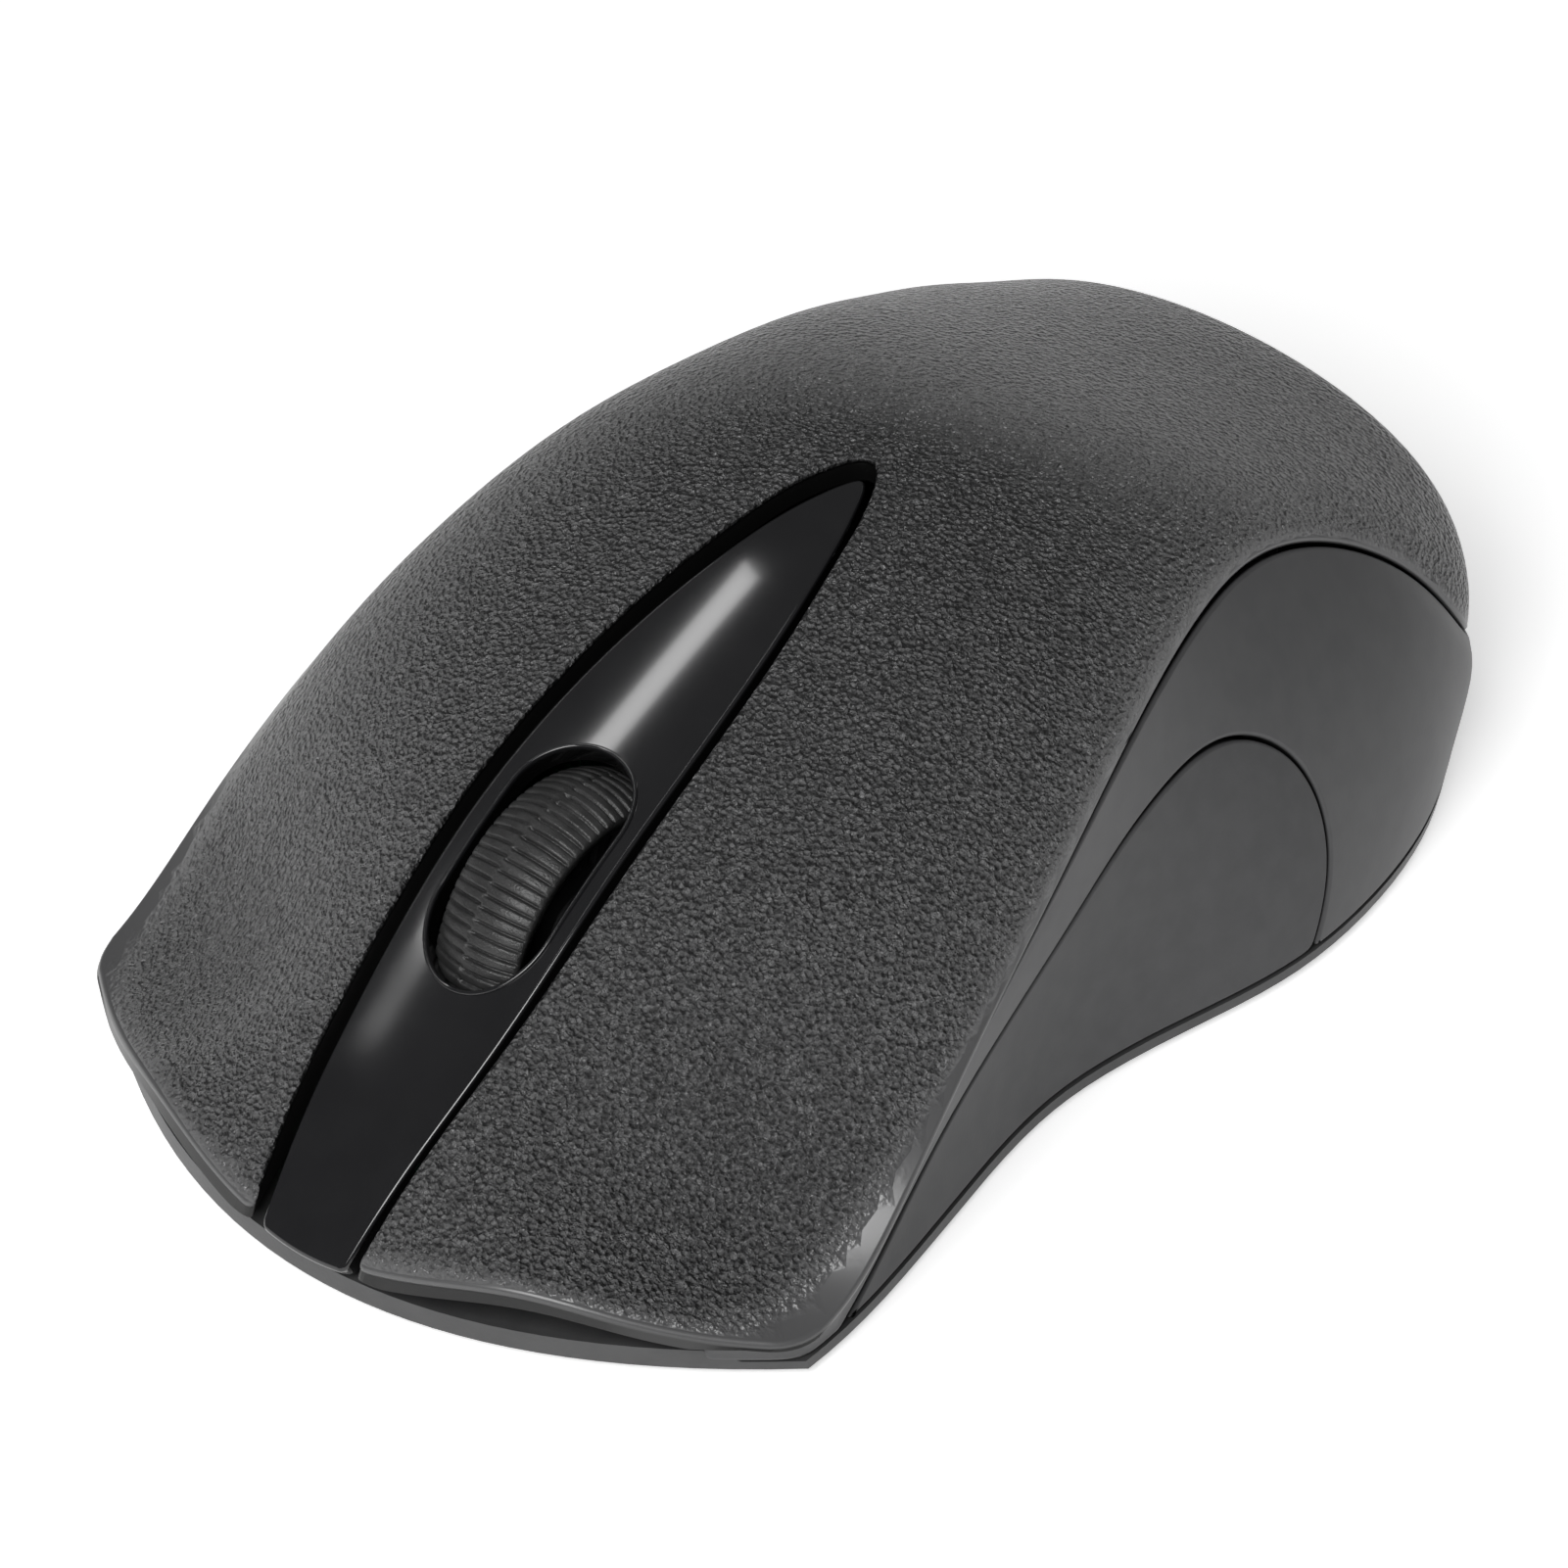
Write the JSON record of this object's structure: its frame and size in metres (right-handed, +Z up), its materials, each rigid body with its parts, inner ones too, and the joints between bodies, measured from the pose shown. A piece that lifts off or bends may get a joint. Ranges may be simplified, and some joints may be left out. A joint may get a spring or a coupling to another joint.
{
  "type": "computer mouse",
  "caption": "Wireless computer mouse: wide curved cover split into two buttons, glossy centre spine with a scroll wheel, soft side grips, battery door below",
  "frame": {"origin": "on the desk surface under the middle of the mouse, where the glides rest", "axes": "+Z up, +Y from the button end (nose) to the palm end (tail), +X to the thumb side of a right hand, which is the side whose button is the left one"},
  "size_m": [0.066, 0.105, 0.035],
  "materials": {
    "cover": "fine grained",
    "spine": "polished",
    "frame": "satin",
    "grip": "soft touch",
    "base": "fine matte",
    "glide": "smooth",
    "label": "matte",
    "steel": "plated",
    "board": "solder mask",
    "switch_body": "moulded",
    "plunger": "moulded",
    "chip": "moulded",
    "can": "satin",
    "tyre": "ribbed",
    "hub": "moulded",
    "cradle": "moulded",
    "lens": "clear",
    "bay": "moulded",
    "cell": "plain wrap",
    "lead": "insulated wire",
    "receiver": "satin"
  },
  "bodies": {
    "housing": {"palm_cover": "cover", "centre_spine": "spine", "side_frame": "frame", "left_side_grip": "grip", "right_side_grip": "grip", "bottom_plate": "base", "front_glide": "glide", "rear_glides": "glide", "blank_label": "label", "case_screws": "steel", "circuit_board": "board", "board_screws": "steel", "left_switch": "switch_body", "right_switch": "switch_body", "middle_switch": "switch_body", "sensor_chip": "chip", "sensor_lens": "lens", "board_chips": "chip", "crystal": "steel", "capacitors": "can", "wheel_emitter": "chip", "wheel_detector": "chip", "power_switch": "steel", "cradle_spring": "steel", "battery_bay": "bay", "front_cell": "cell", "rear_cell": "cell", "contact_plates": "steel", "contact_springs": "steel", "battery_leads": "lead", "receiver_cap": "receiver", "receiver_plug": "steel"},
    "left_button": {"left_button": "cover"},
    "right_button": {"right_button": "cover"},
    "left_plunger": {"left_plunger": "plunger"},
    "right_plunger": {"right_plunger": "plunger"},
    "wheel_cradle": {"wheel_cradle": "cradle"},
    "wheel": {"wheel_hub": "hub", "wheel_tyre": "tyre", "wheel_axle": "steel"},
    "middle_plunger": {"middle_plunger": "plunger"},
    "battery_door": {"battery_door": "base"},
    "power_slider": {"power_slider": "hub"}
  },
  "joints": [
    {"name": "left_button_press", "type": "hinge", "parent": "housing", "child": "left_button", "pos_m": [0, 0.005, 0.0254], "axis": [1, 0, 0], "range_deg": [0, 0.6], "stiffness_Nm_per_rad": 1.5, "springref_deg": -0.23},
    {"name": "right_button_press", "type": "hinge", "parent": "housing", "child": "right_button", "pos_m": [0, 0.005, 0.0254], "axis": [1, 0, 0], "range_deg": [0, 0.6], "stiffness_Nm_per_rad": 1.5, "springref_deg": -0.23},
    {"name": "left_plunger_slide", "type": "slide", "parent": "housing", "child": "left_plunger", "axis": [0, 0, -1], "range_m": [0, 0.0004]},
    {"name": "right_plunger_slide", "type": "slide", "parent": "housing", "child": "right_plunger", "axis": [0, 0, -1], "range_m": [0, 0.0004]},
    {"name": "wheel_press", "type": "hinge", "parent": "housing", "child": "wheel_cradle", "pos_m": [0, -0.0105, 0.01], "axis": [1, 0, 0], "range_deg": [0, 1], "stiffness_Nm_per_rad": 0.1, "springref_deg": -1.15, "deforming": ["cradle_spring"]},
    {"name": "middle_plunger_slide", "type": "slide", "parent": "housing", "child": "middle_plunger", "axis": [0, 0, -1], "range_m": [0, 0.0006]},
    {"name": "wheel_scroll", "type": "hinge", "parent": "wheel_cradle", "child": "wheel", "pos_m": [0, -0.0236, 0.0141], "axis": [1, 0, 0], "continuous": true},
    {"name": "battery_door_open", "type": "hinge", "parent": "housing", "child": "battery_door", "pos_m": [0, 0.011, 0.0012], "axis": [-1, 0, 0], "range_deg": [0, 80]},
    {"name": "power_slide", "type": "slide", "parent": "housing", "child": "power_slider", "axis": [1, 0, 0], "range_m": [0, 0.002]}
  ],
  "couplings": [
    {"joint": "left_plunger_slide", "follows": "left_button_press", "m_per_rad": 0.035},
    {"joint": "right_plunger_slide", "follows": "right_button_press", "m_per_rad": 0.035},
    {"joint": "middle_plunger_slide", "follows": "wheel_press", "m_per_rad": 0.0275}
  ]
}
